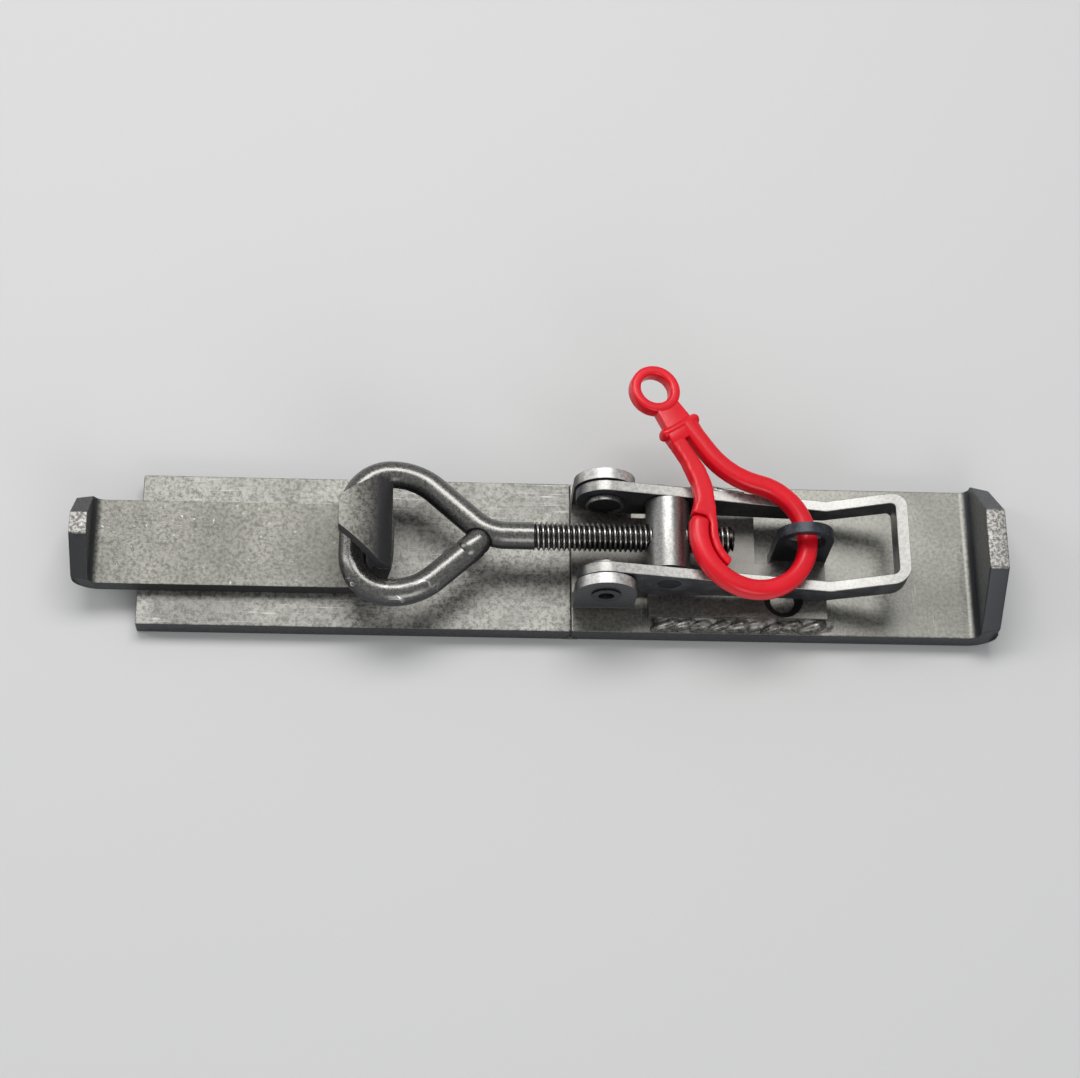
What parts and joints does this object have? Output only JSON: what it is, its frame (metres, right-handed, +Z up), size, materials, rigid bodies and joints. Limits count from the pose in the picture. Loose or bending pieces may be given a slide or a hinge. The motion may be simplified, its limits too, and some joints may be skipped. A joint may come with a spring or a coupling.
{
  "type": "trailer coupler lock",
  "caption": "Clamp bar with a fixed jaw and a sliding jaw, drawn together by an over-centre latch with a threaded loop rod, its lever pinned down by a plastic snap hook.",
  "frame": {"origin": "middle of the base bar's underside, under the butt weld", "axes": "+X along the bar towards the fixed jaw, +Y to the bar's back edge, +Z up through the latch"},
  "size_m": [0.2571, 0.0699, 0.036],
  "materials": {
    "bar_steel": "mill-finish grey steel with fine scratches and speckle",
    "sheet_steel": "tumbled grey steel sheet, worn bright along its edges",
    "weld_metal": "rippled weld metal",
    "rivet_steel": "upset rivet steel, satin",
    "turned_steel": "turned steel with fine rings",
    "rod_steel": "smooth dark drawn rod with soft highlights",
    "red_plastic": "semi-gloss moulded red plastic"
  },
  "bodies": {
    "base_bar": {"guide_bar": "bar_steel", "jaw_bar": "bar_steel", "butt_weld_seam": "weld_metal", "latch_base_plate": "sheet_steel", "weld_bead_front": "weld_metal", "weld_bead_back": "weld_metal", "pivot_rivet_front": "rivet_steel", "pivot_rivet_back": "rivet_steel"},
    "lever": {"lever": "sheet_steel"},
    "barrel": {"barrel": "turned_steel"},
    "rod": {"loop_rod": "rod_steel"},
    "slider": {"slider_plate": "bar_steel"},
    "snap_hook": {"snap_hook_body": "red_plastic"},
    "gate": {"snap_hook_gate": "red_plastic"}
  },
  "joints": [
    {"name": "lever_pivot", "type": "hinge", "parent": "base_bar", "child": "lever", "pos_m": [0.0085, 0, 0.0208], "axis": [0, -1, 0], "range_deg": [0, 90]},
    {"name": "barrel_pivot", "type": "hinge", "parent": "lever", "child": "barrel", "pos_m": [0.0259, 0, 0.0202], "axis": [0, -1, 0], "range_deg": [-76, 0]},
    {"name": "rod_twist", "type": "hinge", "parent": "barrel", "child": "rod", "pos_m": [0.0259, 0, 0.0202], "axis": [1, 0, 0], "range_deg": [-3, 3]},
    {"name": "slider_travel", "type": "slide", "parent": "base_bar", "child": "slider", "axis": [-1, 0, 0], "range_m": [0, 0.0086]},
    {"name": "snap_hook_lift", "type": "slide", "parent": "base_bar", "child": "snap_hook", "axis": [0, 0, 1], "range_m": [0, 0.142], "deforming": ["snap_hook_body", "snap_hook_gate"]},
    {"name": "gate_flex", "type": "hinge", "parent": "snap_hook", "child": "gate", "pos_m": [0.02742, 0.02617, 0.02929], "axis": [0.1959, 0, 0.9806], "range_deg": [0, 6.5], "stiffness_Nm_per_rad": 0.6}
  ],
  "couplings": [
    {"joint": "barrel_pivot", "follows": "lever_pivot", "ratio": -0.832},
    {"joint": "slider_travel", "follows": "lever_pivot", "m_per_rad": 0.0054},
    {"joint": "snap_hook_lift", "follows": "lever_pivot", "m_per_rad": 0.09}
  ]
}
